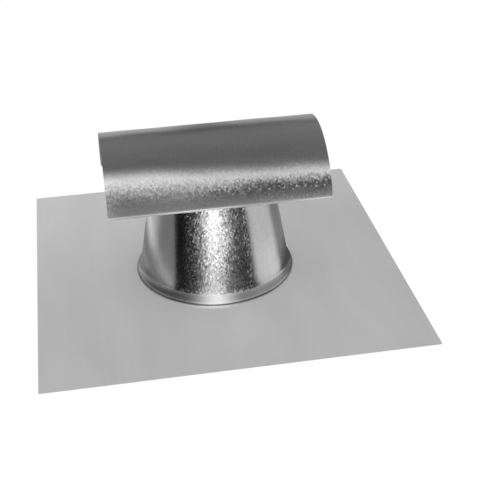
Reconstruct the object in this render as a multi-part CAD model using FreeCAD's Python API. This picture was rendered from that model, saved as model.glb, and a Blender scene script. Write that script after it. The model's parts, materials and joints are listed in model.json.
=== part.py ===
"""Roof exhaust vent: square flashing sheet, tapered collar and an arched hood open at both ends.

Sizes are in millimetres. Z is up, the origin is the middle of the sheet's underside, and the hood
runs along X. The back of the vent, where the collar's seam lies, is +Y.
"""
import FreeCAD
import Part

import math
import os

# Sheet stock
SHEET_THICKNESS = 0.55
FOLD_RADIUS = 1.2

# Flashing sheet
BASE_SIDE = 305.0
BASE_CORNER_RADIUS = 1.0
UPSTAND_HEIGHT = 16.0
UPSTAND_CLEARANCE = 0.1

# Collar, from its neck down to its foot
DUCT_BORE = 103.0
COLLAR_HEIGHT = 82.5
NECK_LENGTH = 8.0
RIM_WIDTH = 10.0
RIM_LEDGE = 1.7
FOOT_SPREAD = 15.0
FLARE_RADIUS = 10.0
FLARE_ANGLE = 45.0
FOOT_BEAD_RADIUS = 4.5
LAP_WIDTH = 14.0

# Hood
HOOD_LENGTH = 178.0
HOOD_RISE = 44.5
HOOD_PLAY = 0.25
RETURN_WIDTH = 13.5
NOTCH_CLEARANCE = 1.0

# Radii and levels that follow from the sizes above
FOLD_OUTSIDE = FOLD_RADIUS + SHEET_THICKNESS
NECK_OUTSIDE = DUCT_BORE / 2 + SHEET_THICKNESS
FOOT_OUTSIDE = NECK_OUTSIDE + FOOT_SPREAD
RIM_OUTSIDE = NECK_OUTSIDE + RIM_WIDTH
RIM_HALF_DEPTH = NECK_OUTSIDE + RIM_LEDGE
HOOD_HALF_DEPTH = RIM_HALF_DEPTH + HOOD_PLAY + FOLD_OUTSIDE
HOOD_TOP = COLLAR_HEIGHT + HOOD_RISE

UP = FreeCAD.Vector(0, 0, 1)
ORIGIN = FreeCAD.Vector(0, 0, 0)


def polar(centre, radius, degrees):
    """Point at a radius and angle from a centre in the section plane."""
    angle = math.radians(degrees)
    return (centre[0] + radius * math.cos(angle), centre[1] + radius * math.sin(angle))


def bend(centre, near, far, first, last):
    """Rounded bend of a sheet: centre, radii of its two faces, and first and last angle."""
    return (centre, near, far, first, last)


def tip(point, degrees):
    """Cut end of a sheet: a point on the near face and the direction of the thickness."""
    return bend(point, 0.0, SHEET_THICKNESS, degrees, degrees)


def crease(point, degrees, turn):
    """Tight fold of a sheet by a turn: a point on the near face and the direction of the mitre."""
    mitre = SHEET_THICKNESS / math.cos(math.radians(turn / 2))
    return bend(point, 0.0, mitre, degrees, degrees)


def face_edges(stops, side, place):
    """Edges of one face of a folded sheet, with straight runs between its stops."""
    edges = []
    here = None
    for stop in stops:
        centre, radius, first, last = stop[0], stop[side], stop[3], stop[4]
        start = place(polar(centre, radius, first))
        if here is not None and here.distanceToPoint(start) > 1e-6:
            edges.append(Part.makeLine(here, start))
        here = start
        if first != last:
            middle = place(polar(centre, radius, (first + last) / 2))
            here = place(polar(centre, radius, last))
            edges.append(Part.Arc(start, middle, here).toShape())
    return edges


def sheet_section(stops, place):
    """Flat closed section of a folded sheet between its two cut ends."""
    edges = face_edges(stops, 1, place) + face_edges(stops, 2, place)
    for centre, near, far, degrees, _ in (stops[0], stops[-1]):
        near_corner = place(polar(centre, near, degrees))
        far_corner = place(polar(centre, far, degrees))
        edges.append(Part.makeLine(near_corner, far_corner))
    return Part.Face(Part.Wire(Part.sortEdges(edges)[0]))


def around_axis(point):
    """Place a (radius, height) point in the plane that is turned round Z."""
    return FreeCAD.Vector(point[0], 0, point[1])


def across_hood(point):
    """Place a (depth, height) point in the plane of the hood's left end."""
    return FreeCAD.Vector(-HOOD_LENGTH / 2, point[0], point[1])


# Outer line of the collar: the foot's bead and flare, and the tangent from the neck to the flare
BEAD_CENTRE = (FOOT_OUTSIDE - FOOT_BEAD_RADIUS, SHEET_THICKNESS)
FLARE_CENTRE = polar(BEAD_CENTRE, FOOT_BEAD_RADIUS + FLARE_RADIUS, FLARE_ANGLE)
NECK_FOOT = (NECK_OUTSIDE, COLLAR_HEIGHT - NECK_LENGTH)
FLARE_OFFSET = FLARE_CENTRE[0] - NECK_FOOT[0]
FLARE_DROP = NECK_FOOT[1] - FLARE_CENTRE[1]
FLARE_REACH = math.hypot(FLARE_OFFSET, FLARE_DROP)
TAPER = math.degrees(math.atan2(FLARE_OFFSET, FLARE_DROP) - math.asin(FLARE_RADIUS / FLARE_REACH))
TAPER_FOOT = polar(FLARE_CENTRE, -FLARE_RADIUS, TAPER)


def taper_radius(height, depth):
    """Radius of the taper at a height, on a face that lies a depth inside its outer face."""
    lean = math.radians(TAPER)
    run = (height - TAPER_FOOT[1]) * math.tan(lean)
    return TAPER_FOOT[0] - run - depth / math.cos(lean)


def base_flashing():
    """Square sheet with the rim of its hole turned up against the inside of the collar."""
    depth = SHEET_THICKNESS + UPSTAND_CLEARANCE
    top = SHEET_THICKNESS + UPSTAND_HEIGHT
    turn = 90 - TAPER
    stops = [
        tip((FOOT_OUTSIDE, SHEET_THICKNESS), 270),
        crease((taper_radius(SHEET_THICKNESS, depth), SHEET_THICKNESS), 270 - turn / 2, turn),
        tip((taper_radius(top, depth), top), 270 - turn),
    ]
    upstand = sheet_section(stops, around_axis).revolve(ORIGIN, UP, 360)
    corner = FreeCAD.Vector(-BASE_SIDE / 2, -BASE_SIDE / 2, 0)
    plate = Part.makeBox(BASE_SIDE, BASE_SIDE, SHEET_THICKNESS, corner)
    upright = [edge for edge in plate.Edges if abs(edge.tangentAt(0).z) > 0.9]
    plate = plate.makeFillet(BASE_CORNER_RADIUS, upright)
    plate = plate.cut(Part.makeCylinder(FOOT_OUTSIDE, SHEET_THICKNESS))
    return plate.fuse(upstand).removeSplitter()


def tapered_collar():
    """Rolled cone with a flared foot, a lap seam at the back and a rim turned out under the hood."""
    rim_under = COLLAR_HEIGHT - SHEET_THICKNESS
    flare_inside = FLARE_RADIUS + SHEET_THICKNESS
    bead_inside = FOOT_BEAD_RADIUS - SHEET_THICKNESS
    stops = [
        tip((RIM_OUTSIDE, rim_under), 90),
        crease((NECK_OUTSIDE, rim_under), 135, 90),
        crease(NECK_FOOT, 180 + TAPER / 2, TAPER),
        bend(FLARE_CENTRE, FLARE_RADIUS, flare_inside, 180 + TAPER, 180 + FLARE_ANGLE),
        bend(BEAD_CENTRE, FOOT_BEAD_RADIUS, bead_inside, FLARE_ANGLE, 0),
        tip((FOOT_OUTSIDE, SHEET_THICKNESS), 180),
    ]
    collar = sheet_section(stops, around_axis).revolve(ORIGIN, UP, 360)

    # The overlap of the rolled sheet is a strip of its own thickness over the taper
    corners = [
        around_axis(TAPER_FOOT),
        around_axis(NECK_FOOT),
        around_axis(polar(NECK_FOOT, SHEET_THICKNESS, TAPER)),
        around_axis(polar(TAPER_FOOT, SHEET_THICKNESS, TAPER)),
    ]
    strip = Part.Face(Part.makePolygon(corners + corners[:1]))
    lap_angle = math.degrees(LAP_WIDTH / TAPER_FOOT[0])
    strip.rotate(ORIGIN, UP, 90 - lap_angle / 2)
    collar = collar.fuse(strip.revolve(ORIGIN, UP, lap_angle))

    # The rim is trimmed flat at front and back so that it stays inside the hood
    for y in (RIM_HALF_DEPTH, -RIM_HALF_DEPTH - RIM_WIDTH):
        start = FreeCAD.Vector(-RIM_OUTSIDE, y, rim_under)
        collar = collar.cut(Part.makeBox(2 * RIM_OUTSIDE, RIM_WIDTH, SHEET_THICKNESS, start))
    return collar.removeSplitter()


def hood():
    """Arched sheet with its long lower edges folded inward and notched round the duct's way."""
    fold_y = HOOD_HALF_DEPTH - FOLD_OUTSIDE
    fold_z = COLLAR_HEIGHT + FOLD_OUTSIDE
    drop = fold_z - HOOD_TOP
    spread = fold_y ** 2 + drop ** 2 - FOLD_OUTSIDE ** 2
    arch_outside = -spread / (2 * (drop + FOLD_OUTSIDE))
    arch_inside = arch_outside - SHEET_THICKNESS
    arch_centre = (0.0, HOOD_TOP - arch_outside)
    spring = math.degrees(math.atan2(fold_z - arch_centre[1], fold_y))
    opening = HOOD_HALF_DEPTH - RETURN_WIDTH
    stops = [
        tip((opening, COLLAR_HEIGHT), 90),
        bend((fold_y, fold_z), FOLD_OUTSIDE, FOLD_RADIUS, -90, spring),
        bend(arch_centre, arch_outside, arch_inside, spring, 180 - spring),
        bend((-fold_y, fold_z), FOLD_OUTSIDE, FOLD_RADIUS, 180 - spring, 270),
        tip((-opening, COLLAR_HEIGHT), 90),
    ]
    arch = sheet_section(stops, across_hood).extrude(FreeCAD.Vector(HOOD_LENGTH, 0, 0))
    notch_radius = DUCT_BORE / 2 + NOTCH_CLEARANCE
    notch_start = FreeCAD.Vector(0, 0, COLLAR_HEIGHT)
    return arch.cut(Part.makeCylinder(notch_radius, SHEET_THICKNESS, notch_start))


NODES = {
    "base_flashing": base_flashing,
    "tapered_collar": tapered_collar,
    "hood": hood,
}

os.makedirs("parts", exist_ok=True)
for name, build in NODES.items():
    build().exportStep("parts/" + name + ".step")
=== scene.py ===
"""Finished looks of a galvanised roof exhaust vent: its three formed sheets, press joints and studio stage.

Lengths are metres in the part's own frame: Z is up, the hood runs along X, the front faces -Y and the
collar's seam is at the back. Angles round the collar are counted from the front towards +X.
"""

import json
import math

import bpy
import numpy as np
from bpy.props import FloatProperty, FloatVectorProperty, PointerProperty
from bpy.types import Operator, Panel, PropertyGroup
from mathutils import Matrix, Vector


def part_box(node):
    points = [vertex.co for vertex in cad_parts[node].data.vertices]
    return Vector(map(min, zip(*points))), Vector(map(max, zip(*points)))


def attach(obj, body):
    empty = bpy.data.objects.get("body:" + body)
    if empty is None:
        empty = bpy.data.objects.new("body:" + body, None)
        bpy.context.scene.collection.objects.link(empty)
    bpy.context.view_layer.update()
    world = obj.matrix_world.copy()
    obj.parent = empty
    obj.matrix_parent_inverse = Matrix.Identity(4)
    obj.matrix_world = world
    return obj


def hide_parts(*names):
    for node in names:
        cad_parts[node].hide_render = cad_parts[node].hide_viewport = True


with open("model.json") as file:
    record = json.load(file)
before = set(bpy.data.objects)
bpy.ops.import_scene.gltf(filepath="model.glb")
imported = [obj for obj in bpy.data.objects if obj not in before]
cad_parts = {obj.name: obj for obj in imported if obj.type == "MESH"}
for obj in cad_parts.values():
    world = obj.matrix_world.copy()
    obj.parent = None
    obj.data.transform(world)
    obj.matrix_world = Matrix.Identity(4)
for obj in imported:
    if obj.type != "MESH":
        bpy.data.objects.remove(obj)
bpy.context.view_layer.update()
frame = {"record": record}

bl_info = {
    "name": "Roof exhaust vent",
    "version": (1, 0, 0),
    "blender": (4, 5, 0),
    "location": "3D View > Sidebar > Roof Vent",
    "description": "Builds the finished sheets, stage and camera of a galvanised roof exhaust vent",
    "category": "Object",
}

MM = 0.001

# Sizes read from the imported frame
BASE_LOW, BASE_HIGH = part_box("base_flashing")
COLLAR_LOW, COLLAR_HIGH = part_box("tapered_collar")
HOOD_LOW, HOOD_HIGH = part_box("hood")
MOUNTS = {mount["name"]: mount for mount in frame["record"]["mounts"]}
BORE_RADIUS = MOUNTS["duct_neck"]["dims"]["r_mm"] * MM
SHEET_THICKNESS = COLLAR_LOW.z - BASE_LOW.z

# Points along each stretch of the sections, and steps round or along the pieces
CORNER_POINTS = 6
SIDE_POINTS = 80
PLATE_POINTS = 48
UPSTAND_POINTS = 8
TIP_POINTS = 3
RIM_POINTS = 6
NECK_POINTS = 7
TAPER_POINTS = 56
FLARE_POINTS = 14
BEAD_POINTS = 16
COLLAR_STEPS = 360
RETURN_POINTS = 8
FOLD_POINTS = 14
ARCH_POINTS = 110
HOOD_STEPS = 179
BUTTON_POINTS = 9
BUTTON_STEPS = 32

# How the plate's points crowd towards the collar, and the angle from which an edge is sharp
PLATE_CROWDING = 1.5
SHARP_ANGLE = math.radians(35)

# Soft waves of the thin sheets: radians a metre along X and Y, waves a turn round an arc, and phases last
SHEET_WAVES = ((31, 17, 0.0), (-19, 37, 1.3), (53, -11, 2.1))
COLLAR_WAVES = ((7, 0.6), (11, 2.2), (17, 4.0))
HOOD_WAVES = ((70, 5, 0.0), (-110, 9, 1.7))

# Heights over which the waves fade: above the flare, below the neck, and between two levels over the folds
FLARE_FADE = 20 * MM
NECK_FADE = 15 * MM
FOLD_FADE = (4 * MM, 18 * MM)

# Smallest cosine that the rim's trim is divided by
SMALLEST_COSINE = 1e-6

# Half the angle over which the lap's step rises, and the shares of the taper where its joints sit
LAP_EDGE = math.radians(0.02)
LAP_JOINTS = (0.14, 0.5, 0.86)

# A pressed button: its depth in the sheet, the degrees to its flat crown, and its crystals' strength
BUTTON_SINK = 0.1 * MM
BUTTON_CROWN = 85
BUTTON_SPANGLE = 0.2

# Strength of the collar's crystals away from its two patches
FAINT_SPANGLE = 0.09

# Heights where the collar's painted contact shade and the hood's dull folds begin, and where they are full
FOOT_SHADE_LINE = (2.0 * MM, 1.3 * MM)
DULL_FOLD = (2.6 * MM, 1.0 * MM)

# Scales of the zinc's patterns, and how far they swing its shade and roughness
CLOUD_SCALE = (26.0, 8.0, 8.0)
ROLLING_SCALE = (220.0, 5.0, 5.0)
GRAIN_SCALE = 900.0
WANDER_SCALE = 600.0
CLOUD_SHADE = 0.12
ROLLING_SHADE = 0.02
GRAIN_SHADE = 0.03
CLOUD_ROUGHNESS = 0.08
STREAK_ROUGHNESS = 0.05

# The lamp's place and turn, and the white share of the floor
KEY_PLACE = (-0.2, -1.0, 1.4)
KEY_TURN = (math.radians(35), 0.0, math.radians(-11))
FLOOR_WHITE = 0.8

# Steps of the reflector cards
RING_DEGREES = np.linspace(-180, 180, 361)
TUBE_DEGREES = np.linspace(4, 196, 193)
TUBE_STEPS = 201
BOWL_FLOOR_POINTS = 24
BOWL_WALL_POINTS = 40
CONE_POINTS = 30
SHEET_CARD_POINTS = 60

# How far the cards keep from the foot or the collar's card, and above the sheet's card
COLLAR_CARD_GAP = 0.3 * MM
SHEET_CARD_GAP = 0.5 * MM
FOOT_CARD_GAP = 1.0 * MM
COLLAR_CARD_LIFT = 0.25 * MM
FOOT_CARD_LIFT = 1.05 * MM

# Reach of the sheet's card in sides of the sheet, and the power of the domes that close the hood's card
SHEET_CARD_REACH = 0.8
TUBE_DOME_POWER = 10


def length(name, description, default):
    """A length in metres that a user can change."""
    return FloatProperty(name=name, description=description, default=default, precision=5, unit="LENGTH")


def angle(name, description, degrees):
    """An angle that a user can change, given in degrees."""
    return FloatProperty(name=name, description=description, default=math.radians(degrees), unit="ROTATION")


def factor(name, description, default):
    """A plain share or strength that a user can change."""
    return FloatProperty(name=name, description=description, default=default, min=0.0)


def colour(name, description, default):
    """A linear colour that a user can change."""
    return FloatVectorProperty(
        name=name, description=description, default=default, subtype="COLOR", min=0.0, max=1.0
    )


class FlashingSettings(PropertyGroup):
    """Sizes of the square flashing sheet."""

    thickness: length("Thickness", "Thickness of all the sheet stock", SHEET_THICKNESS)
    side: length("Side", "Side of the square sheet", BASE_HIGH.x - BASE_LOW.x)
    corner_radius: length("Corner radius", "Rounding of the sheet's four corners", 1.0 * MM)
    upstand_top: length("Upstand top", "Height of the rim turned up inside the collar", BASE_HIGH.z)
    upstand_clearance: length("Upstand clearance", "Room between the upstand and the collar", 0.1 * MM)
    wave_height: length("Wave height", "Height of the soft waves of a thin sheet", 0.15 * MM)
    wave_start: length("Wave start", "Distance from the axis where the waves begin", 75.0 * MM)


class CollarSettings(PropertyGroup):
    """Sizes of the rolled collar."""

    bore_radius: length("Bore radius", "Inside radius of the duct's neck", BORE_RADIUS)
    top: length("Top", "Height of the rim's upper face", COLLAR_HIGH.z)
    foot_radius: length("Foot radius", "Outside radius of the foot", COLLAR_HIGH.x)
    neck_length: length("Neck length", "Straight length above the taper", 8.0 * MM)
    rim_width: length("Rim width", "Width of the rim turned out at the top", 10.0 * MM)
    rim_ledge: length("Rim ledge", "Width that the trimmed rim keeps at front and back", 1.7 * MM)
    flare_radius: length("Flare radius", "Radius of the hollow where the taper turns out", 10.0 * MM)
    flare_angle: angle("Flare angle", "Slope where the flare meets the bead", 45.0)
    bead_radius: length("Bead radius", "Radius of the round bead on the sheet", 4.5 * MM)
    lap_width: length("Lap width", "Width of the lap seam at the back", 14.0 * MM)
    wave_height: length("Wave height", "Depth of the flats left by rolling", 0.05 * MM)


class HoodSettings(PropertyGroup):
    """Sizes of the arched hood."""

    length: length("Length", "Length of the hood along its tunnel", HOOD_HIGH.x - HOOD_LOW.x)
    half_depth: length("Half depth", "Half the depth over the folded edges", HOOD_HIGH.y)
    top: length("Top", "Height of the crown", HOOD_HIGH.z)
    rest: length("Rest", "Height of the face that lies on the collar's rim", HOOD_LOW.z)
    fold_radius: length("Fold radius", "Inside radius of the folded edges", 1.2 * MM)
    return_width: length("Return width", "Width of the edges folded inward", 13.5 * MM)
    notch_clearance: length("Notch clearance", "Room round the duct where the returns are notched", 1.0 * MM)
    wave_height: length("Wave height", "Height of the soft waves of the arched sheet", 0.06 * MM)


class JointSettings(PropertyGroup):
    """Sizes of the press joints."""

    radius: length("Radius", "Radius of a pressed button", 2.6 * MM)
    height: length("Height", "Height of a pressed button", 0.5 * MM)
    rim_x: length("Rim joint across", "Distance of the rim's joints from the middle along X", 34.0 * MM)
    rim_y: length("Rim joint deep", "Distance of the rim's joints from the middle along Y", 47.0 * MM)


class FinishSettings(PropertyGroup):
    """Colours and gloss of the zinc."""

    sheet_colour: colour("Sheet colour", "Matt zinc of the flashing sheet", (0.445, 0.445, 0.445))
    sheet_metal: factor("Sheet metal", "Share of the sheet's light that is metal sheen", 0.4)
    sheet_roughness: factor("Sheet roughness", "Roughness of the flashing sheet", 0.5)
    vent_colour: colour("Vent colour", "Bright zinc of the collar and hood", (0.68, 0.68, 0.68))
    vent_roughness: factor("Vent roughness", "Roughness of the collar and hood", 0.2)
    spangle_size: length("Spangle size", "Size of a zinc crystal", 1.0 * MM)
    spangle_tilt: factor("Spangle tilt", "How far a crystal leans from the surface", 0.13)
    spangle_shade: factor("Spangle shade", "How far crystals differ in brightness", 0.4)
    # Painted shade: the collar's and hood's inner faces are darkened by this share, for the shade inside them
    inner_painted_shade: factor("Inner shade", "Brightness of the dull inner faces next to the outer ones", 0.62)
    inner_metal: factor("Inner metal", "Share of metal sheen on the dull inner faces", 0.1)
    inner_roughness: factor("Inner roughness", "Roughness of the dull inner faces", 0.75)
    fold_dulling: factor("Fold dulling", "How dull the hood's folds are next to its inner face", 0.55)
    # Painted shade: how far the colour darkens along the line where the collar's foot meets the sheet
    foot_contact_shade: factor("Foot contact shade", "Darkness of the line where the foot meets the sheet", 0.65)


class StageSettings(PropertyGroup):
    """Camera, floor and light."""

    camera_place: FloatVectorProperty(
        name="Camera place",
        description="Where the camera stands",
        default=(-0.0996, -0.7587, 0.4723),
        subtype="TRANSLATION",
    )
    camera_azimuth: angle("Camera azimuth", "Turn of the view from +Y towards +X", 9.145)
    camera_elevation: angle("Camera elevation", "How steeply the view looks down", 30.464)
    camera_roll: angle("Camera roll", "Roll of the camera", -1.426)
    camera_lens: FloatProperty(
        name="Lens", description="Focal length on a 36 mm sensor", default=77.563, unit="CAMERA"
    )
    floor_side: length("Floor side", "Side of the floor", 8.0)
    floor_gap: length("Floor gap", "How far the floor lies under the sheet", 0.2 * MM)
    floor_colour: colour("Floor colour", "Pale paper of the floor", (0.95, 0.95, 0.95))
    key_power: FloatProperty(
        name="Key power", description="Power of the soft lamp", default=6.0, unit="POWER"
    )
    key_size: length("Key size", "Side of the soft lamp", 1.2)
    collar_card_radius: length("Collar card radius", "Radius of the card round the collar", 105.0 * MM)
    collar_card_top: length("Collar card top", "Height of the card round the collar", 74.0 * MM)
    hood_card_radius: length("Hood card radius", "Radius of the card over the hood", 130.0 * MM)
    hood_card_length: length("Hood card length", "Length of the card over the hood", 800.0 * MM)
    foot_card_height: length("Foot card height", "Height of the inner edge of the foot's card", 10.5 * MM)
    sheet_card_height: length("Sheet card height", "Height of the level card over the sheet", 0.95 * MM)


class VentSettings(PropertyGroup):
    """All the settings of the vent."""

    flashing: PointerProperty(type=FlashingSettings)
    collar: PointerProperty(type=CollarSettings)
    hood: PointerProperty(type=HoodSettings)
    joints: PointerProperty(type=JointSettings)
    finish: PointerProperty(type=FinishSettings)
    stage: PointerProperty(type=StageSettings)


# Curves and grids

def arc(centre, radius, first, last, count):
    """Points on a circle: centre plus radius times cosine and sine of evenly spaced angles in radians."""
    turn = np.linspace(first, last, count)
    return np.stack([centre[0] + radius * np.cos(turn), centre[1] + radius * np.sin(turn)], axis=1)


def run(start, end, count):
    """Evenly spaced points on the straight line from start to end."""
    share = np.linspace(0.0, 1.0, count)[:, None]
    return np.asarray(start) * (1.0 - share) + np.asarray(end) * share


def joined(*stretches):
    """One line of points from several stretches, each sharing its first point with the last one's end."""
    return np.concatenate([stretches[0]] + [stretch[1:] for stretch in stretches[1:]])


def smooth(value, start, end):
    """Smooth step from 0 at start to 1 at end: share squared times (3 minus twice the share)."""
    share = np.clip((value - start) / (end - start), 0.0, 1.0)
    return share * share * (3.0 - 2.0 * share)


def bell(value, middle, width):
    """Bell curve that is 1 at the middle: exponential of minus the squared distance in widths."""
    return np.exp(-(((value - middle) / width) ** 2))


def grid_faces(rows, columns, wrap_rows=False, wrap_columns=False):
    """Quads between neighbours of a grid of points kept row by row, closed round where asked."""
    row, column = np.meshgrid(
        np.arange(rows if wrap_rows else rows - 1),
        np.arange(columns if wrap_columns else columns - 1),
        indexing="ij",
    )
    next_row = (row + 1) % rows
    next_column = (column + 1) % columns
    corners = [
        row * columns + column,
        next_row * columns + column,
        next_row * columns + next_column,
        row * columns + next_column,
    ]
    return np.stack(corners, axis=-1).reshape(-1, 4)


def strips_across(count):
    """Quads that close a ring of points: each joins a step on one half to the step opposite on the other."""
    step = np.arange(count // 2 - 1)
    return np.stack([step, step + 1, count - 2 - step, count - 1 - step], axis=1)


def facing_out(points, faces):
    """The quads of a closed shell, turned so that its signed volume is positive."""
    a, b, c, d = (points[faces[:, i]] for i in range(4))
    volume = np.einsum("ij,ij->", np.cross(a, b), c) + np.einsum("ij,ij->", np.cross(a, c), d)
    return faces if volume > 0 else faces[:, ::-1]


def new_mesh(name, points, faces):
    """A smooth mesh object at the origin from points and quads, which keeps its sharp edges."""
    mesh = bpy.data.meshes.new(name)
    mesh.vertices.add(len(points))
    mesh.vertices.foreach_set("co", np.ascontiguousarray(points, np.float32).ravel())
    mesh.loops.add(faces.size)
    mesh.loops.foreach_set("vertex_index", np.ascontiguousarray(faces, np.int32).ravel())
    mesh.polygons.add(len(faces))
    mesh.polygons.foreach_set("loop_start", np.arange(0, faces.size, faces.shape[1], dtype=np.int32))
    mesh.update(calc_edges=True)
    mesh.validate()
    mesh.polygons.foreach_set("use_smooth", np.ones(len(mesh.polygons), bool))
    mesh.set_sharp_from_angle(angle=SHARP_ANGLE)
    piece = bpy.data.objects.new(name, mesh)
    bpy.context.scene.collection.objects.link(piece)
    return piece


def add_values(piece, name, values):
    """Store one number for each point of a piece's mesh under a name that its material reads."""
    layer = piece.data.attributes.new(name, "FLOAT", "POINT")
    layer.data.foreach_set("value", np.ascontiguousarray(values, np.float32).ravel())


def finish_piece(piece, material, node=None):
    """Give a piece its material and the body that it rides on, and hide the imported node that it stands for,
    if any.
    """
    piece.data.materials.append(material)
    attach(piece, "root")
    if node:
        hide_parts(node)


# Sections of the sheets

def taper_of(collar, thickness):
    """Lean of the taper, its normal, its ends at the neck and the flare, and the flare's and bead's centres.

    The taper is the line from the neck's foot that touches the flare's circle: its lean is the angle to the
    circle's centre less the angle whose sine is the flare's radius over the distance to that centre."""
    bead_centre = np.array([collar.foot_radius - collar.bead_radius, thickness])
    outward = np.array([math.cos(collar.flare_angle), math.sin(collar.flare_angle)])
    flare_centre = bead_centre + (collar.bead_radius + collar.flare_radius) * outward
    neck_foot = np.array([collar.bore_radius + thickness, collar.top - collar.neck_length])
    offset, drop = flare_centre[0] - neck_foot[0], neck_foot[1] - flare_centre[1]
    lean = math.atan2(offset, drop) - math.asin(collar.flare_radius / math.hypot(offset, drop))
    normal = np.array([math.cos(lean), math.sin(lean)])
    taper_foot = flare_centre - collar.flare_radius * normal
    return lean, normal, neck_foot, taper_foot, flare_centre, bead_centre


def collar_section(collar, thickness):
    """Closed section of the collar as (radius, height) points, and which lie on the taper's outer face.

    The outer line runs under the rim, down the neck and taper, through the hollow flare and over the bead to
    the sheet. The inner line is the same one a thickness further in, followed back up."""
    lean, normal, neck_foot, taper_foot, flare_centre, bead_centre = taper_of(collar, thickness)
    neck = neck_foot[0]
    rim = neck + collar.rim_width
    flare = (math.pi + lean, math.pi + collar.flare_angle)
    bead = (collar.flare_angle, 0.0)
    lines = []
    for depth in (0.0, thickness):
        level = collar.top - thickness + depth
        neck_low = neck_foot - np.array([depth, depth * math.tan(lean / 2)])
        lines.append(
            [
                run((rim, level), (neck - depth, level), RIM_POINTS),
                run((neck - depth, level), neck_low, NECK_POINTS),
                run(neck_low, taper_foot - depth * normal, TAPER_POINTS),
                arc(flare_centre, collar.flare_radius + depth, *flare, FLARE_POINTS),
                arc(bead_centre, collar.bead_radius - depth, *bead, BEAD_POINTS),
            ]
        )
    outer, inner = (joined(*line) for line in lines)
    first = RIM_POINTS + NECK_POINTS - 1
    on_taper = np.zeros(len(outer) + len(inner), bool)
    on_taper[first : first + TAPER_POINTS - 2] = True
    return np.concatenate([outer, inner[::-1]]), on_taper


def hood_section(hood, thickness):
    """Outer and inner lines of the hood's section as (depth, height) points, with its edge and arch centre.

    Each line runs out along the back return, round its fold, over the arch, round the front fold and in along
    the front return. The arch is the circle through the crown that touches both folds. The third array gives,
    for each point, how far it lies along its return, from 0 at the fold to 1 at the cut edge, signed by its
    side."""
    fold_outside = hood.fold_radius + thickness
    fold_y = hood.half_depth - fold_outside
    fold_z = hood.rest + fold_outside
    drop = fold_z - hood.top
    arch_radius = -(fold_y**2 + drop**2 - fold_outside**2) / (2 * (drop + fold_outside))
    arch_centre = np.array([0.0, hood.top - arch_radius])
    spring = math.atan2(fold_z - arch_centre[1], fold_y)
    edge = hood.half_depth - hood.return_width
    lines = []
    for depth in (0.0, thickness):
        level = hood.rest + depth
        fold = fold_outside - depth
        line = joined(
            run((edge, level), (fold_y, level), RETURN_POINTS),
            arc((fold_y, fold_z), fold, -math.pi / 2, spring, FOLD_POINTS),
            arc(arch_centre, arch_radius - depth, spring, math.pi - spring, ARCH_POINTS),
            arc((-fold_y, fold_z), fold, math.pi - spring, 1.5 * math.pi, FOLD_POINTS),
            run((-fold_y, level), (-edge, level), RETURN_POINTS),
        )
        lines.append(line)
    share = np.zeros(len(lines[0]))
    share[:RETURN_POINTS] = np.linspace(1.0, 0.0, RETURN_POINTS)
    share[-RETURN_POINTS:] = np.linspace(0.0, -1.0, RETURN_POINTS)
    return lines[0], lines[1], share, edge, arch_centre


# Materials

def add_node(tree, kind, inputs=None, **settings):
    """A shader node with its settings, and with each input set to a value or linked to a socket."""
    node = tree.nodes.new(kind)
    for name, value in settings.items():
        setattr(node, name, value)
    for name, value in (inputs or {}).items():
        if isinstance(value, bpy.types.NodeSocket):
            tree.links.new(value, node.inputs[name])
        else:
            node.inputs[name].default_value = value
    return node


def new_material(name):
    """An empty node material and its tree."""
    material = bpy.data.materials.new(name)
    material.use_nodes = True
    material.node_tree.nodes.clear()
    return material, material.node_tree


def shown(material, shader):
    """The material with a shader socket as its surface."""
    add_node(material.node_tree, "ShaderNodeOutputMaterial", {"Surface": shader})
    return material


def place_of(tree):
    """The place on the piece."""
    return add_node(tree, "ShaderNodeTexCoord").outputs["Object"]


def mapped(tree, vector, scale):
    """A vector socket stretched by a scale along each axis."""
    return add_node(tree, "ShaderNodeMapping", {"Vector": vector, "Scale": scale}).outputs["Vector"]


def stored(tree, name):
    """The values stored on the piece under a name."""
    return add_node(tree, "ShaderNodeAttribute", attribute_name=name).outputs["Fac"]


def noise(tree, vector, scale=1.0, **inputs):
    """The outputs of a noise texture at a vector socket."""
    inputs = {"Vector": vector, "Scale": scale, "Detail": 2.0, **inputs}
    return add_node(tree, "ShaderNodeTexNoise", inputs).outputs


def maths(tree, operation, *values):
    """A maths operation on values or sockets."""
    return add_node(tree, "ShaderNodeMath", dict(enumerate(values)), operation=operation).outputs["Value"]


def vectors(tree, operation, *values):
    """A vector maths operation on values or sockets."""
    inputs = dict(enumerate(values))
    return add_node(tree, "ShaderNodeVectorMath", inputs, operation=operation).outputs["Vector"]


def scaled(tree, vector, scale):
    """A vector or colour multiplied by a socket."""
    inputs = {0: vector, "Scale": scale}
    return add_node(tree, "ShaderNodeVectorMath", inputs, operation="SCALE").outputs["Vector"]


def spread(tree, value, low, high):
    """A 0 to 1 socket stretched to the range from low to high."""
    inputs = {"Value": value, "To Min": low, "To Max": high}
    return add_node(tree, "ShaderNodeMapRange", inputs).outputs["Result"]


def about(tree, value, middle, swing):
    """A 0 to 1 socket stretched to a swing on both sides of a middle."""
    return spread(tree, value, middle - swing, middle + swing)


def mixed(tree, share, first, second):
    """Two shader sockets mixed by a share."""
    return add_node(tree, "ShaderNodeMixShader", {0: share, 1: first, 2: second}).outputs["Shader"]


def zinc(tree, inputs):
    """The shader of a zinc sheet, with the specular level that all of it shares."""
    inputs = {"Specular IOR Level": 0.2, **inputs}
    return add_node(tree, "ShaderNodeBsdfPrincipled", inputs).outputs["BSDF"]


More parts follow.
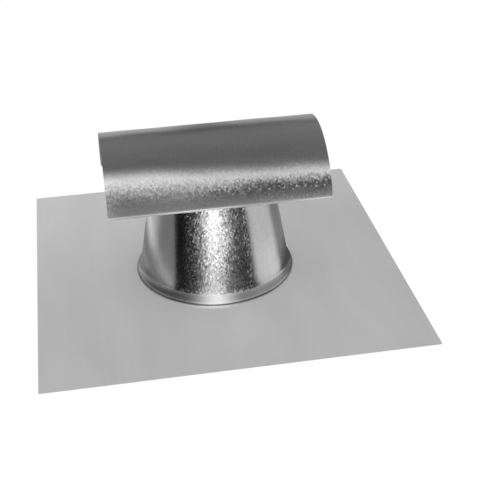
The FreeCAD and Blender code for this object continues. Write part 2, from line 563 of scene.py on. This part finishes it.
def matt_zinc(finish):
    """Matt zinc: soft clouds drawn out along the sheet's depth, faint rolling lines and a fine even grain."""
    material, tree = new_material("matt_zinc")
    place = place_of(tree)
    clouds = noise(tree, mapped(tree, place, CLOUD_SCALE), Roughness=0.45, Distortion=0.6)["Fac"]
    rolling = noise(tree, mapped(tree, place, ROLLING_SCALE))["Fac"]
    grain = noise(tree, place, GRAIN_SCALE)["Fac"]
    lines = about(tree, rolling, 1.0, ROLLING_SHADE)
    fine = maths(tree, "MULTIPLY", lines, about(tree, grain, 1.0, GRAIN_SHADE))
    shade = maths(tree, "MULTIPLY", about(tree, clouds, 1.0, CLOUD_SHADE), fine)
    bump = add_node(tree, "ShaderNodeBump", {"Height": grain, "Strength": 0.08, "Distance": 0.1 * MM})
    inputs = {
        "Base Color": scaled(tree, tuple(finish.sheet_colour), shade),
        "Metallic": finish.sheet_metal,
        "Roughness": about(tree, clouds, finish.sheet_roughness, CLOUD_ROUGHNESS),
        "Normal": bump.outputs["Normal"],
    }
    return shown(material, zinc(tree, inputs))


def spangled_zinc(name, finish, crystal_stretch, streak_scale, streak_depth):
    """Bright zinc: crystals that lean a little each its own way, over faint streaks along the rolled sheet.

    The piece's spangle values say how strongly the crystals show at each place, its inner values how much the
    sheet is as dull as its inner face, and its shade values darken the colour as painted shade: on the inner
    faces and along the line where the collar's foot meets the sheet."""
    material, tree = new_material(name)
    place = place_of(tree)
    strength, inner, painted_shade_values = (stored(tree, values) for values in ("spangle", "inner", "shade"))
    wander = noise(tree, place, WANDER_SCALE)["Color"]
    shift = vectors(tree, "MULTIPLY_ADD", wander, (finish.spangle_size,) * 3, place)
    cells = {"Vector": mapped(tree, shift, crystal_stretch), "Scale": 1.0 / finish.spangle_size}
    crystal = add_node(tree, "ShaderNodeTexVoronoi", cells).outputs["Color"]
    centred = vectors(tree, "SUBTRACT", crystal, (0.5, 0.5, 0.5))
    lean = scaled(tree, centred, spread(tree, strength, 0.0, 2.0 * finish.spangle_tilt))
    face = add_node(tree, "ShaderNodeNewGeometry").outputs["Normal"]
    bright = add_node(tree, "ShaderNodeSeparateColor", {"Color": crystal}).outputs["Blue"]
    contrast = maths(tree, "MULTIPLY_ADD", about(tree, bright, 0.0, finish.spangle_shade), strength, 1.0)
    streak = noise(tree, mapped(tree, place, streak_scale), Detail=4.0)["Fac"]
    shade = maths(tree, "MULTIPLY", about(tree, streak, 1.0, streak_depth), contrast)
    rough = spread(tree, inner, finish.vent_roughness, finish.inner_roughness)
    inputs = {
        "Base Color": scaled(tree, tuple(finish.vent_colour), maths(tree, "MULTIPLY", shade, painted_shade_values)),
        "Metallic": spread(tree, inner, 1.0, finish.inner_metal),
        "Roughness": maths(tree, "ADD", about(tree, streak, 0.0, STREAK_ROUGHNESS), rough),
        "Normal": vectors(tree, "NORMALIZE", vectors(tree, "ADD", face, lean)),
    }
    return shown(material, zinc(tree, inputs))


def paper_floor(stage):
    """White paper: nearly full white where it is looked at, with a share left for soft shadows."""
    material, tree = new_material("paper_floor")
    paths = add_node(tree, "ShaderNodeLightPath").outputs
    seen = maths(tree, "MAXIMUM", paths["Is Camera Ray"], paths["Is Glossy Ray"])
    seen = maths(tree, "MAXIMUM", seen, paths["Is Transmission Ray"])
    paper = add_node(tree, "ShaderNodeBsdfDiffuse", {"Color": (*stage.floor_colour, 1.0)}).outputs["BSDF"]
    white = add_node(tree, "ShaderNodeEmission", {"Color": (1.0, 1.0, 1.0, 1.0), "Strength": 1.0})
    share = spread(tree, seen, 0.0, FLOOR_WHITE)
    return shown(material, mixed(tree, share, paper, white.outputs["Emission"]))


def card_light():
    """A reflector card that shines by its glow values on its inner side and is clear from behind."""
    material, tree = new_material("card_light")
    shine = add_node(tree, "ShaderNodeEmission", {"Strength": stored(tree, "glow")}).outputs["Emission"]
    clear = add_node(tree, "ShaderNodeBsdfTransparent").outputs["BSDF"]
    behind = add_node(tree, "ShaderNodeNewGeometry").outputs["Backfacing"]
    return shown(material, mixed(tree, behind, shine, clear))


# Pieces

class ROOFVENT_OT_flashing(Operator):
    """Build the square flashing sheet with its upstand."""

    bl_idname = "roof_vent.add_flashing"
    bl_label = "Flashing sheet"

    def execute(self, context):
        vent = context.scene.roof_vent
        points, faces = self.surface(vent.flashing, vent.collar)
        piece = new_mesh("flashing_sheet", points, facing_out(points, faces))
        finish_piece(piece, matt_zinc(vent.finish), "base_flashing")
        return {"FINISHED"}

    @staticmethod
    def outline(flashing):
        """Points round a square with rounded corners, as quarter circles joined by divided straight sides."""
        half = flashing.side / 2 - flashing.corner_radius
        sides = []
        for quarter in range(4):
            turn = math.pi / 2 * quarter
            diagonal = turn + math.pi / 4
            corner = half * np.sqrt(2) * np.array([math.cos(diagonal), math.sin(diagonal)])
            bend = arc(corner, flashing.corner_radius, turn, turn + math.pi / 2, CORNER_POINTS)
            onward = np.array([-math.sin(turn + math.pi / 2), math.cos(turn + math.pi / 2)])
            sides.append(bend)
            sides.append(run(bend[-1], bend[-1] + 2 * half * onward, SIDE_POINTS)[1:-1])
        return np.concatenate(sides)

    def surface(self, flashing, collar):
        """Grid of the sheet: one row for each point of the outline, one column for each step of its section.

        A column on the plate lies at a share of the way from the crease's circle to the outline. The upstand
        columns are circles. Soft waves, a sum of three sines, lift the plate some way out from the collar."""
        t = flashing.thickness
        lean, normal, _, taper_foot, _, _ = taper_of(collar, t)
        depth = t + flashing.upstand_clearance
        rim = self.outline(flashing)
        heading = rim / np.linalg.norm(rim, axis=1)[:, None]

        def inside(height):
            """Radius of the upstand: the taper's at a height, less wall and clearance over its cosine."""
            return taper_foot[0] - (height - taper_foot[1]) * math.tan(lean) - depth / math.cos(lean)

        def plate(radius, share):
            """Points at shares of the way from a circle of a radius to the outline."""
            return radius * heading[:, None] * (1 - share)[:, None] + rim[:, None] * share[:, None]

        crease = inside(t)
        foot = crease - t * math.tan((math.pi / 2 - lean) / 2)
        top = (inside(flashing.upstand_top), flashing.upstand_top)
        tip = (top[0] - t * normal[0], top[1] - t * normal[1])
        share = np.linspace(1.0, 0.0, PLATE_POINTS) ** PLATE_CROWDING
        wall = joined(
            run((crease, t), top, UPSTAND_POINTS),
            run(top, tip, TIP_POINTS),
            run(tip, (foot, 0.0), UPSTAND_POINTS),
        )[1:-1]
        upright = heading[:, None] * wall[:, :1]
        flat = np.concatenate([plate(crease, share), upright, plate(foot, share[::-1])], axis=1)
        level = np.concatenate([np.full(PLATE_POINTS, t), wall[:, 1], np.zeros(PLATE_POINTS)])
        x, y = flat[..., 0], flat[..., 1]
        waves = sum(np.sin(across * x + deep * y + phase) for across, deep, phase in SHEET_WAVES)
        reach = smooth(np.hypot(x, y), flashing.wave_start, 2 * flashing.wave_start)
        height = level + flashing.wave_height * (waves / len(SHEET_WAVES) + 1) / 2 * reach
        points = np.dstack([flat, height]).reshape(-1, 3)
        return points, grid_faces(*flat.shape[:2], wrap_rows=True, wrap_columns=True)


class ROOFVENT_OT_collar(Operator):
    """Build the rolled collar with its flared foot, lap seam and trimmed rim."""

    bl_idname = "roof_vent.add_collar"
    bl_label = "Rolled collar"

    def execute(self, context):
        vent = context.scene.roof_vent
        points, faces, inner = self.surface(vent.collar, vent.flashing.thickness)
        piece = new_mesh("rolled_collar", points, facing_out(points, faces))
        # Painted shade: the outer face's colour darkens along a low line on the foot, where it meets the
        # sheet
        outer_painted_shade = 1.0 - vent.finish.foot_contact_shade * smooth(points[:, 2], *FOOT_SHADE_LINE)
        add_values(piece, "spangle", self.spangle(points, inner))
        add_values(piece, "inner", inner)
        # Painted shade: the inner faces take a darker colour, the outer face its painted contact shade
        add_values(piece, "shade", np.where(inner, vent.finish.inner_painted_shade, outer_painted_shade))
        material = spangled_zinc(
            "collar_zinc",
            vent.finish,
            crystal_stretch=(0.92, 0.92, 0.52),
            streak_scale=(120.0, 120.0, 4.0),
            streak_depth=0.09,
        )
        finish_piece(piece, material, "tapered_collar")
        return {"FINISHED"}

    @staticmethod
    def spangle(points, inner):
        """Strength of the crystals: faint, with strong patches in front and behind that fade out sideways.

        The patches are smooth steps of the angle from their middle. The front one is calmer in its middle,
        both fade towards the flared foot, and the inner face has none."""
        turn = np.degrees(np.arctan2(points[:, 0], -points[:, 1]))
        off_front = np.abs(turn + 7)
        off_back = np.abs(np.abs(turn - 12) - 180)
        front = smooth(off_front, 32, 25) * (1 - 0.3 * smooth(off_front, 22, 12))
        back = 0.5 * smooth(off_back, 60, 20)
        above_foot = smooth(points[:, 2], 5 * MM, 14 * MM)
        return FAINT_SPANGLE + (1 - FAINT_SPANGLE) * np.maximum(front, back) * above_foot * ~inner

    @staticmethod
    def surface(collar, thickness):
        """Grid of the collar: its closed section carried round the axis.

        The rim's points are drawn in where a flat trim line, ledge over cosine, lies nearer than the rim. The
        taper's outer points stand out by one thickness inside the lap. Rolling leaves soft flats: a sum of
        three cosines round the collar that fades out towards the rim and the foot."""
        section, on_taper = collar_section(collar, thickness)
        _, normal, neck_foot, taper_foot, _, _ = taper_of(collar, thickness)
        lap = collar.lap_width / taper_foot[0] / 2
        seam = math.pi + np.array([-lap - LAP_EDGE, -lap + LAP_EDGE, lap - LAP_EDGE, lap + LAP_EDGE])
        turn = np.unique(np.concatenate([np.linspace(0, 2 * math.pi, COLLAR_STEPS, endpoint=False), seam]))
        radius, height = section[:, 0], section[:, 1]
        neck = neck_foot[0]
        rim = neck + collar.rim_width
        trim = (neck + collar.rim_ledge) / np.maximum(np.abs(np.cos(turn)), SMALLEST_COSINE)
        drawn = (np.minimum(rim, trim) - neck) / collar.rim_width
        on_rim = (height > collar.top - 1.5 * thickness) & (radius > neck)
        r = np.where(on_rim, neck + (radius - neck) * drawn[:, None], radius)
        lapped = (np.abs(turn - math.pi) < lap)[:, None] & on_taper
        r = r + np.where(lapped, thickness * normal[0], 0.0)
        z = height + np.where(lapped, thickness * normal[1], 0.0)
        fade = smooth(height, taper_foot[1], taper_foot[1] + FLARE_FADE)
        fade = fade * smooth(height, neck_foot[1], neck_foot[1] - NECK_FADE)
        waves = sum(np.cos(count * turn + phase) for count, phase in COLLAR_WAVES)
        r = r + collar.wave_height * waves[:, None] * fade
        points = np.dstack([r * np.sin(turn)[:, None], -r * np.cos(turn)[:, None], z]).reshape(-1, 3)
        inner = np.broadcast_to(np.arange(len(section)) >= len(section) // 2, r.shape).ravel()
        return points, grid_faces(*r.shape, wrap_rows=True, wrap_columns=True), inner


class ROOFVENT_OT_hood(Operator):
    """Build the arched hood with its folded and notched edges."""

    bl_idname = "roof_vent.add_hood"
    bl_label = "Arched hood"

    def execute(self, context):
        vent = context.scene.roof_vent
        finish, hood = vent.finish, vent.hood
        points, faces, inner = self.surface(hood, vent.collar, vent.flashing.thickness)
        piece = new_mesh("arched_hood", points, facing_out(points, faces))
        dull_fold = finish.fold_dulling * smooth(points[:, 2] - hood.rest, *DULL_FOLD)
        add_values(piece, "spangle", self.spangle(hood, points))
        add_values(piece, "inner", np.where(inner, 1.0, dull_fold))
        # Painted shade: the hood's inner face takes a darker colour, for the shade inside the hood
        add_values(piece, "shade", np.where(inner, finish.inner_painted_shade, 1.0))
        material = spangled_zinc(
            "hood_zinc",
            finish,
            crystal_stretch=(0.75, 0.68, 0.68),
            streak_scale=(9.0, 45.0, 45.0),
            streak_depth=0.25,
        )
        finish_piece(piece, material, "hood")
        return {"FINISHED"}

    @staticmethod
    def spangle(hood, points):
        """Strength of the crystals: faint on the crown and stronger on the flanks, more so towards +X.

        Two bells of the height above the folds are added. The lower one sinks and grows along the hood, and
        fades out close to the folds."""
        level = (points[:, 2] - hood.rest) / (hood.top - hood.rest)
        along = smooth(points[:, 0], -0.04, 0.05)
        shoulder = 0.19 * bell(level, 0.5, 0.16)
        flank = (0.2 + 0.95 * along) * bell(level, 0.3 - 0.11 * along, 0.14) * smooth(level, 0.03, 0.1)
        return 0.08 + shoulder + flank

    @staticmethod
    def surface(hood, collar, thickness):
        """Grid of the hood: its closed section carried along X, with strips of quads across each end.

        Inside the notch's circle the returns' edge follows the root of the squared radius less x squared.
        Soft waves, a sum of two sines of x and the angle round the arch, fade out towards the folds."""
        outer, inner, share, edge, centre = hood_section(hood, thickness)
        section = np.concatenate([outer, inner[::-1]])
        along = np.concatenate([share, share[::-1]])
        notch = collar.bore_radius + hood.notch_clearance
        corner = math.sqrt(notch**2 - edge**2)
        x = np.linspace(-hood.length / 2, hood.length / 2, HOOD_STEPS)
        x = np.unique(np.concatenate([x, [-corner, corner]]))
        notched = np.maximum(edge, np.sqrt(np.maximum(notch**2 - x**2, 0.0)))
        y = section[:, 0] + along * (notched - edge)[:, None]
        spoke = section - centre
        round_arch = np.arctan2(spoke[:, 1], spoke[:, 0])
        outward = spoke / np.linalg.norm(spoke, axis=1)[:, None]
        fade = smooth(section[:, 1] - hood.rest, *FOLD_FADE)
        station = x[:, None]
        waves = sum(np.sin(a * station + b * round_arch + phase) for a, b, phase in HOOD_WAVES)
        lift = hood.wave_height * waves * fade
        y = y + lift * outward[:, 0]
        z = section[:, 1] + lift * outward[:, 1]
        points = np.dstack([np.broadcast_to(station, y.shape), y, z]).reshape(-1, 3)
        rows, columns = y.shape
        faces = grid_faces(rows, columns, wrap_columns=True)
        cap = strips_across(columns)
        far_cap = cap[:, ::-1] + (rows - 1) * columns
        inner = np.broadcast_to(np.arange(columns) >= len(outer), y.shape).ravel()
        return points, np.concatenate([faces, cap, far_cap]), inner


class ROOFVENT_OT_joints(Operator):
    """Build the pressed buttons that hold the lap seam together and the hood on the rim."""

    bl_idname = "roof_vent.add_joints"
    bl_label = "Press joints"

    def execute(self, context):
        vent = context.scene.roof_vent
        points, faces = self.surface(vent)
        piece = new_mesh("press_joints", points, faces)
        add_values(piece, "spangle", np.full(len(points), BUTTON_SPANGLE))
        add_values(piece, "shade", np.ones(len(points)))
        material = spangled_zinc(
            "joint_zinc",
            vent.finish,
            crystal_stretch=(1.0, 1.0, 1.0),
            streak_scale=(120.0, 120.0, 120.0),
            streak_depth=0.1,
        )
        finish_piece(piece, material)
        return {"FINISHED"}

    @staticmethod
    def places(vent):
        """Middle, outward direction and a direction across of each button.

        Three sit along the lap seam at the back, and four under the rim, where the hood's returns lie on
        it."""
        joints, collar = vent.joints, vent.collar
        thickness = vent.flashing.thickness
        _, normal, neck_foot, taper_foot, _, _ = taper_of(collar, thickness)
        across = (1.0, 0.0, 0.0)
        spots = []
        for share in LAP_JOINTS:
            radius, height = taper_foot * (1 - share) + neck_foot * share + thickness * normal
            spots.append(((0.0, radius, height), (0.0, normal[0], normal[1]), across))
        for side in (-1, 1):
            for end in (-1, 1):
                middle = (end * joints.rim_x, side * joints.rim_y, collar.top - thickness)
                spots.append((middle, (0.0, 0.0, -1.0), across))
        return np.array(spots)

    def surface(self, vent):
        """Grid of the buttons: the quarter of an ellipse turned about its axis, one for each place.

        Its edge is sunk a little into the sheet. Strips of quads across its base and its small flat crown
        close it."""
        joints = vent.joints
        middle, out, across = self.places(vent).transpose(1, 0, 2)
        side = np.cross(out, across)
        turn = np.linspace(0, 2 * math.pi, BUTTON_STEPS, endpoint=False)[:, None]
        rise = np.radians(np.linspace(0, BUTTON_CROWN, BUTTON_POINTS))
        reach = np.cos(rise) * joints.radius
        height = np.sin(rise) * joints.height - BUTTON_SINK
        dome = np.stack(np.broadcast_arrays(reach * np.cos(turn), reach * np.sin(turn), height))
        axes = np.stack([across, side, out])
        grid = np.einsum("aij,apk->pijk", dome, axes) + middle[:, None, None]
        rows, columns = grid.shape[1:3]
        strips = strips_across(rows) * columns
        faces = grid_faces(rows, columns, wrap_rows=True)
        faces = np.concatenate([faces, strips[:, ::-1], strips + columns - 1])
        faces = facing_out(grid[0].reshape(-1, 3), faces)
        steps = np.arange(len(grid)) * rows * columns
        return grid.reshape(-1, 3), (faces + steps[:, None, None]).reshape(-1, 4)


class ROOFVENT_OT_stage(Operator):
    """Set up the floor, the light and the camera."""

    bl_idname = "roof_vent.add_stage"
    bl_label = "Stage and camera"

    def execute(self, context):
        scene = context.scene
        vent = scene.roof_vent
        self.add_floor(vent.stage)
        self.add_world(scene)
        self.add_lamp(scene, vent.stage)
        self.add_cards(vent)
        self.add_camera(scene, vent.stage)
        scene.view_settings.view_transform = "Standard"
        return {"FINISHED"}

    @staticmethod
    def add_floor(stage):
        """A wide flat square just under the sheet."""
        half = stage.floor_side / 2
        side = np.array([-half, half])
        x, y = np.meshgrid(side, side, indexing="ij")
        points = np.stack([x, y, np.full_like(x, -stage.floor_gap)], axis=-1).reshape(-1, 3)
        floor = new_mesh("floor", points, grid_faces(2, 2))
        floor.data.materials.append(paper_floor(stage))

    @staticmethod
    def add_world(scene):
        """An even white room."""
        world = bpy.data.worlds.new("white_room")
        world.use_nodes = True
        background = world.node_tree.nodes["Background"]
        background.inputs["Color"].default_value = (1.0, 1.0, 1.0, 1.0)
        background.inputs["Strength"].default_value = 1.0
        scene.world = world

    @staticmethod
    def add_lamp(scene, stage):
        """One soft lamp above the camera, seen only by matt surfaces."""
        lamp = bpy.data.lights.new("key_lamp", "AREA")
        lamp.size = stage.key_size
        lamp.energy = stage.key_power
        holder = bpy.data.objects.new("key_lamp", lamp)
        holder.location = KEY_PLACE
        holder.rotation_euler = KEY_TURN
        holder.visible_glossy = False
        scene.collection.objects.link(holder)

    def add_cards(self, vent):
        """Reflector cards round the collar and over the hood, the foot and the sheet, for metal only."""
        material = card_light()
        cards = {
            "collar_card": self.collar_card(vent),
            "hood_card": self.hood_card(vent),
            "foot_card": self.foot_card(vent),
            "sheet_card": self.sheet_card(vent),
        }
        for name, (points, glow) in cards.items():
            card = new_mesh(name, points.reshape(-1, 3), grid_faces(*glow.shape))
            add_values(card, "glow", glow)
            card.data.materials.append(material)
            card.visible_camera = False
            card.visible_diffuse = False
            card.visible_shadow = False

    @staticmethod
    def ring(degrees, radius, height):
        """Points round the axis at radius times sine and minus cosine, facing down where the radius grows."""
        turn = np.radians(degrees)
        height = np.broadcast_to(height, turn.shape)
        return np.dstack([radius * np.sin(turn), -radius * np.cos(turn), height])

    def collar_card(self, vent):
        """Bowl round the collar, flat over the sheet and then upright, which faces up and inward.

        Its climb is the height on the wall, or minus the distance from the wall on the floor. The glow is the
        sum of a bright front, a left and a right side, and a back that steps up on both sides."""
        stage = vent.stage
        wall = stage.collar_card_radius
        level = stage.sheet_card_height + COLLAR_CARD_LIFT
        line = joined(
            run((vent.collar.foot_radius + COLLAR_CARD_GAP, level), (wall, level), BOWL_FLOOR_POINTS),
            run((wall, level), (wall, stage.collar_card_top), BOWL_WALL_POINTS),
        )
        climb = np.where(line[:, 0] < wall, line[:, 0] - wall, line[:, 1] - level)
        degrees, climb = np.meshgrid(RING_DEGREES, climb, indexing="ij")
        behind = smooth(degrees, -140, -170) + smooth(degrees, 112, 150)
        back = 0.55 * behind * smooth(climb, 5 * MM, 25 * MM)
        sides = self.left_glow(degrees, climb) + self.right_glow(degrees, climb)
        glow = self.front_glow(degrees, climb) + sides + back
        points = self.ring(degrees, line[:, 0], line[:, 1])
        return points[:, ::-1], glow[:, ::-1]

    @staticmethod
    def front_glow(degrees, climb):
        """Front of the collar's card: a narrow and a wide bell, cut off on the left by a dark flag.

        Low down both bells are narrower and turned left, the narrow one is dimmer, and a trace of light is
        added, more of it on the right. High up the narrow bell is brighter and wider."""
        low, high = smooth(climb, 40 * MM, 12 * MM), smooth(climb, 40 * MM, 58 * MM)
        strength = 1.18 - 0.4 * low + 0.35 * high
        middle = -6 - 3 * low - high
        width = 14 - 3 * low + 1.5 * high
        narrow = strength * bell(degrees, middle, width)
        wide = 0.2 * bell(degrees, -4 - 3 * low, 28 - 6 * low)
        flag = 0.9 * bell(degrees, -50, 14)
        trace = (0.008 + 0.03 * smooth(degrees, -20, 10)) * low
        return (narrow + wide) * (1 - flag) + trace

    @staticmethod
    def left_glow(degrees, climb):
        """Left of the collar's card: a grey side behind a sharp slanting edge, with a lighter streak on it.

        The side is dimmer beside the foot and lighter far round it. The streak is a bell of the climb about a
        line that rises towards the back, and it brightens on the floor."""
        edge = -52 - 155 * climb
        beside_foot = 0.1 * smooth(climb, -18 * MM, -32 * MM)
        far_floor = 0.12 * smooth(degrees, -84, -96) * smooth(climb, -14 * MM, -24 * MM)
        far_round = smooth(degrees, -80, -105) * smooth(degrees, -172, -140)
        far_wall = 0.4 * far_round * smooth(climb, 0.0, 24 * MM)
        side = (0.22 - beside_foot + far_floor + far_wall) * smooth(degrees, edge + 2, edge - 2)
        streak_line = (-68 - degrees) / 46 * 25 * MM
        strength = 0.22 + 0.08 * smooth(climb, -2 * MM, -10 * MM)
        streak = strength * bell(climb, streak_line, 9 * MM) * smooth(degrees, edge, edge - 6)
        return side + streak

    @staticmethod
    def right_glow(degrees, climb):
        """Right of the collar's card: a light grey side that falls off towards the back.

        It is lighter low down and dimmer beside the foot. On the floor the fall comes earlier and goes
        deeper."""
        on_floor, by_foot = smooth(climb, 5 * MM, -25 * MM), smooth(climb, -18 * MM, -32 * MM)
        strength = 0.64 + 0.12 * smooth(climb, 30 * MM, 10 * MM) * bell(degrees, 62, 14)
        depth = 0.66 + 0.2 * on_floor * smooth(degrees, 150, 100)
        start, end = 74 - 6 * on_floor - 9 * by_foot, 90 - 10 * on_floor - 11 * by_foot
        fall = depth * smooth(degrees, start, end)
        beside_foot = 0.6 * smooth(climb, -23 * MM, -30 * MM)
        return strength * smooth(degrees, 33, 43) * (1 - fall) * (1 - beside_foot)

    @staticmethod
    def hood_card(vent):
        """Half tube over the hood, closed by domes, by degrees from its front's level over the top, and by x.

        Its radius falls off as the root of 1 less a high power of x over its half length. The glow adds up a
        dim ground, a bright strip, a band behind, a lip low on the right and light ends. The strip is a bell
        about a line that sinks from left to right, and on the left it is wider below that line. The band has
        a gap near its middle. Two dark lines are taken away: under the strip's right half and before the
        band."""
        stage = vent.stage
        centre = hood_section(vent.hood, vent.flashing.thickness)[-1]
        half = stage.hood_card_length / 2
        along = half * np.sin(np.linspace(-math.pi / 2, math.pi / 2, TUBE_STEPS))
        degrees, x = np.meshgrid(TUBE_DEGREES, along, indexing="ij")
        ground = 0.158 + 0.04 * smooth(degrees, 70, 105) + 0.06 * smooth(degrees, 30, 12)
        line = np.clip(np.maximum(46.5 - 95 * x, 44.8 - 32 * x), 34, 58)
        width_below, width_above = np.clip(13.0 - 140 * x, 7.5, 16.0), 8.5
        width = np.where(degrees < line, width_below, width_above)
        strip = (0.85 - 0.11 * smooth(x, -0.05, 0.0)) * bell(degrees, line, width)
        under_strip = 0.08 * bell(degrees, 25, 7) * smooth(x, -0.01, 0.02)
        before_band = 0.08 * bell(degrees, 131, 6) * bell(x, 0.0, 0.06)
        lip = 0.1 * smooth(degrees, 18, 9) * smooth(x, 0.0, 0.05)
        start = 139 - 90 * np.minimum(np.abs(x - 0.01), 0.1)
        band = 0.24 * smooth(degrees, start, start + 14) + 0.3 * smooth(degrees, 155, 176)
        gap = 0.8 * bell(x, 0.01, 0.03) + 0.2 * smooth(x, 0.03, 0.07)
        ends = 0.3 * smooth(np.abs(x), 0.15, half)
        left_end = 0.32 * smooth(x, -0.080, -0.096) * smooth(degrees, line + 6, line - 6)
        glow = ground + strip - under_strip - before_band + lip + band * (1 - gap) + ends + left_end
        turn = np.radians(degrees)
        reach = stage.hood_card_radius * np.sqrt(1 - (x / half) ** TUBE_DOME_POWER)
        return np.dstack([x, -reach * np.cos(turn), centre[1] + reach * np.sin(turn)]), glow

    def foot_card(self, vent):
        """Shallow cone over the collar's foot, which keeps the collar's card out of the flare and the bead.

        It sinks in a straight line outward. The glow is a dim ground with a bell at the front, a lighter
        right, a darker left and far right, and a lighter back with a ring that the bead mirrors. It is darker
        close to the collar, least so at the front."""
        stage = vent.stage
        degrees, share = np.meshgrid(RING_DEGREES, np.linspace(0, 1, CONE_POINTS), indexing="ij")
        inner, outer = vent.collar.foot_radius, stage.collar_card_radius - FOOT_CARD_GAP
        radius = inner + (outer - inner) * share
        level = stage.sheet_card_height + FOOT_CARD_LIFT
        height = stage.foot_card_height + (level - stage.foot_card_height) * share
        front = bell(degrees, -7, 16)
        right = smooth(degrees, 5, 30) * smooth(degrees, 76, 56)
        behind = smooth(degrees, -70, -115) + smooth(degrees, 110, 145)
        sides = (0.08 * smooth(degrees, -15, -35) + 0.1 * smooth(degrees, 54, 76)) * (1 - behind)
        bead = 0.25 * bell(radius, 96 * MM, 6 * MM)
        ground = 0.28 + front + 0.12 * right + (0.15 + bead) * behind - sides
        near = 0.4 + 0.55 * front + 0.35 * (right * (1 - front) + behind)
        glow = ground * (near + (1 - near) * smooth(radius, 73 * MM, 78 * MM))
        return self.ring(degrees, radius, height), glow

    def sheet_card(self, vent):
        """Level white ring close over the whole sheet, which keeps the other cards out of the sheet's sheen.

        The glow is near white, with extra light along the foot's front, round the collar, most of all on its
        right, and towards the back left."""
        degrees, share = np.meshgrid(RING_DEGREES, np.linspace(0, 1, SHEET_CARD_POINTS) ** 2, indexing="ij")
        inner = vent.collar.foot_radius + SHEET_CARD_GAP
        radius = inner + (SHEET_CARD_REACH * vent.flashing.side - inner) * share
        points = self.ring(degrees, radius, vent.stage.sheet_card_height)
        x, y = points[..., 0], points[..., 1]
        glint = 2.2 * smooth(radius, 71.5 * MM, 68 * MM) * bell(degrees, -9, 12)
        back_left = 0.44 * smooth(y - 0.5 * x, -0.05, 0.22)
        right = 0.2 * smooth(x, 0.0, 0.06) * smooth(y, -0.04, 0.02)
        near = (0.15 + right) * smooth(radius, 0.16, 0.08)
        return points, 0.82 + glint + back_left + near

    @staticmethod
    def add_camera(scene, stage):
        """A camera turned down by its elevation, round Z by its azimuth and about its own axis by a roll."""
        lens = bpy.data.cameras.new("camera")
        lens.lens = stage.camera_lens
        camera = bpy.data.objects.new("camera", lens)
        turn = Matrix.Rotation(-stage.camera_azimuth, 4, "Z")
        tip = Matrix.Rotation(math.pi / 2 - stage.camera_elevation, 4, "X")
        roll = Matrix.Rotation(stage.camera_roll, 4, "Z")
        camera.matrix_world = Matrix.Translation(stage.camera_place) @ turn @ tip @ roll
        scene.collection.objects.link(camera)
        scene.camera = camera


class ROOFVENT_PT_panel(Panel):
    """Buttons that build the vent, in the order of the work."""

    bl_idname = "ROOFVENT_PT_panel"
    bl_label = "Roof Vent"
    bl_space_type = "VIEW_3D"
    bl_region_type = "UI"
    bl_category = "Roof Vent"

    def draw(self, context):
        """One button for each operator."""
        for operator in OPERATORS:
            self.layout.operator(operator.bl_idname)


OPERATORS = (
    ROOFVENT_OT_flashing,
    ROOFVENT_OT_collar,
    ROOFVENT_OT_hood,
    ROOFVENT_OT_joints,
    ROOFVENT_OT_stage,
)
CLASSES = (
    FlashingSettings,
    CollarSettings,
    HoodSettings,
    JointSettings,
    FinishSettings,
    StageSettings,
    VentSettings,
    *OPERATORS,
    ROOFVENT_PT_panel,
)


def register():
    """Add the classes and the settings to Blender."""
    for cls in CLASSES:
        bpy.utils.register_class(cls)
    bpy.types.Scene.roof_vent = PointerProperty(type=VentSettings)


def unregister():
    """Take the settings and the classes out again."""
    del bpy.types.Scene.roof_vent
    for cls in reversed(CLASSES):
        bpy.utils.unregister_class(cls)


def main():
    """Build the vent and its stage."""
    register()
    bpy.ops.roof_vent.add_flashing()
    bpy.ops.roof_vent.add_collar()
    bpy.ops.roof_vent.add_hood()
    bpy.ops.roof_vent.add_joints()
    bpy.ops.roof_vent.add_stage()


if __name__ == "__main__":
    main()
